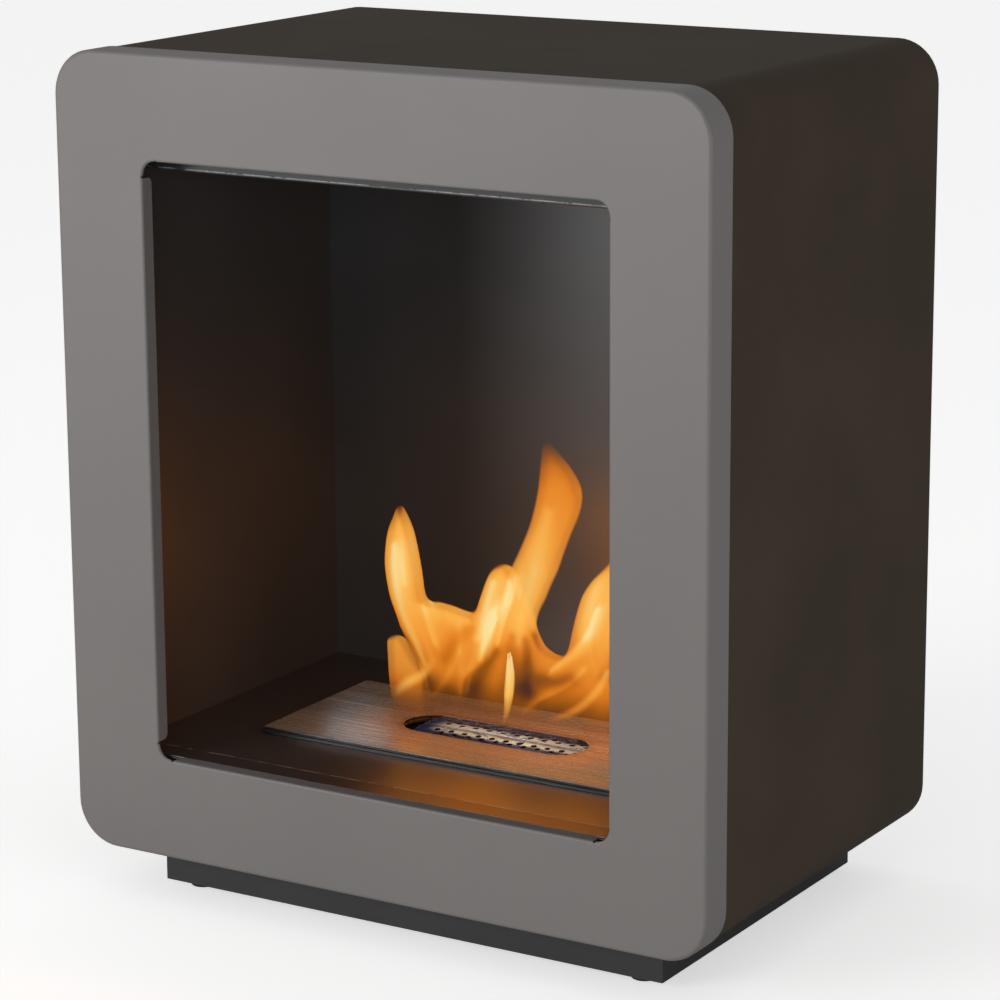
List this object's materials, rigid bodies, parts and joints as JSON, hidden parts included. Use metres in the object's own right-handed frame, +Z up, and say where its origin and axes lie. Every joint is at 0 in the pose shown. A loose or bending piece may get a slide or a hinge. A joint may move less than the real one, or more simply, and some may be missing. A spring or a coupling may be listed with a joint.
{
  "type": "bioethanol fireplace",
  "caption": "Free-standing bioethanol fireplace: rounded folded fascia, open black firebox, slotted plate burner with perforated baffle, recessed plinth on levelling feet.",
  "frame": {"origin": "on the floor, under the middle of the body (fascia and casing together)", "axes": "+X to the right as seen from the front, +Y from the open front to the back, +Z up"},
  "size_m": [0.56, 0.365, 0.664],
  "materials": {
    "fascia_paint": "satin warm grey coating",
    "casing_powder_coat": "fine matt powder coat, dark brown",
    "plinth_powder_coat": "fine matt powder coat, near black",
    "firebox_black": "satin heat-proof black",
    "brushed_stainless": "brushed along its length",
    "plain_stainless": "mill finish",
    "tinted_stainless": "heat-tinted straw to blue",
    "blued_stainless": "heat-tinted dark blue",
    "galvanised_steel": "galvanised, faint spangle",
    "zinc_plated_steel": "bright zinc",
    "rivet_aluminium": "satin",
    "foot_plastic": "dark brown, matt",
    "ceramic_fibre": "loose white ceramic fibre",
    "flame": "burning alcohol vapour, glowing"
  },
  "bodies": {
    "casing": {"fascia_nuts": "zinc_plated_steel", "fascia_spacers": "zinc_plated_steel", "fascia_studs": "zinc_plated_steel", "firebox_back_wall": "firebox_black", "firebox_ceiling": "firebox_black", "firebox_floor": "firebox_black", "firebox_left_wall": "firebox_black", "firebox_right_wall": "firebox_black", "firebox_rivets": "rivet_aluminium", "floor_bearer_front": "galvanised_steel", "floor_bearer_rear": "galvanised_steel", "foot_brackets": "galvanised_steel", "foot_nuts": "zinc_plated_steel", "front_fascia": "fascia_paint", "heat_shield_screws": "zinc_plated_steel", "heat_shield_spacers": "galvanised_steel", "inner_front_frame": "firebox_black", "outer_casing": "casing_powder_coat", "plinth_frame": "plinth_powder_coat", "plinth_nuts": "zinc_plated_steel", "plinth_screws": "zinc_plated_steel", "rear_panel": "casing_powder_coat", "rear_panel_screws": "zinc_plated_steel", "top_heat_shield": "galvanised_steel"},
    "burner": {"burner_top_plate": "brushed_stainless", "burner_under_plate": "brushed_stainless", "plate_spacer_discs": "plain_stainless", "perforated_baffle": "tinted_stainless", "slide_rail_front": "plain_stainless", "slide_rail_rear": "plain_stainless", "fuel_tank": "plain_stainless", "ceramic_fibre_wick": "ceramic_fibre", "tank_studs": "zinc_plated_steel", "tank_nuts": "zinc_plated_steel"},
    "regulator": {"regulator_slide": "blued_stainless"},
    "foot_front_left": {"foot_stud_front_left": "zinc_plated_steel", "foot_pad_front_left": "foot_plastic"},
    "foot_front_right": {"foot_stud_front_right": "zinc_plated_steel", "foot_pad_front_right": "foot_plastic"},
    "foot_rear_left": {"foot_stud_rear_left": "zinc_plated_steel", "foot_pad_rear_left": "foot_plastic"},
    "foot_rear_right": {"foot_stud_rear_right": "zinc_plated_steel", "foot_pad_rear_right": "foot_plastic"}
  },
  "joints": [
    {"name": "burner_lift", "type": "slide", "parent": "casing", "child": "burner", "axis": [0, 0, 1], "range_m": [0, 0.07]},
    {"name": "regulator_slide", "type": "slide", "parent": "burner", "child": "regulator", "axis": [1, 0, 0], "range_m": [-0.0063, 0]},
    {"name": "foot_front_left_height", "type": "slide", "parent": "casing", "child": "foot_front_left", "axis": [0, 0, 1], "range_m": [-0.012, 0.0015]},
    {"name": "foot_front_right_height", "type": "slide", "parent": "casing", "child": "foot_front_right", "axis": [0, 0, 1], "range_m": [-0.012, 0.0015]},
    {"name": "foot_rear_left_height", "type": "slide", "parent": "casing", "child": "foot_rear_left", "axis": [0, 0, 1], "range_m": [-0.012, 0.0015]},
    {"name": "foot_rear_right_height", "type": "slide", "parent": "casing", "child": "foot_rear_right", "axis": [0, 0, 1], "range_m": [-0.012, 0.0015]}
  ]
}
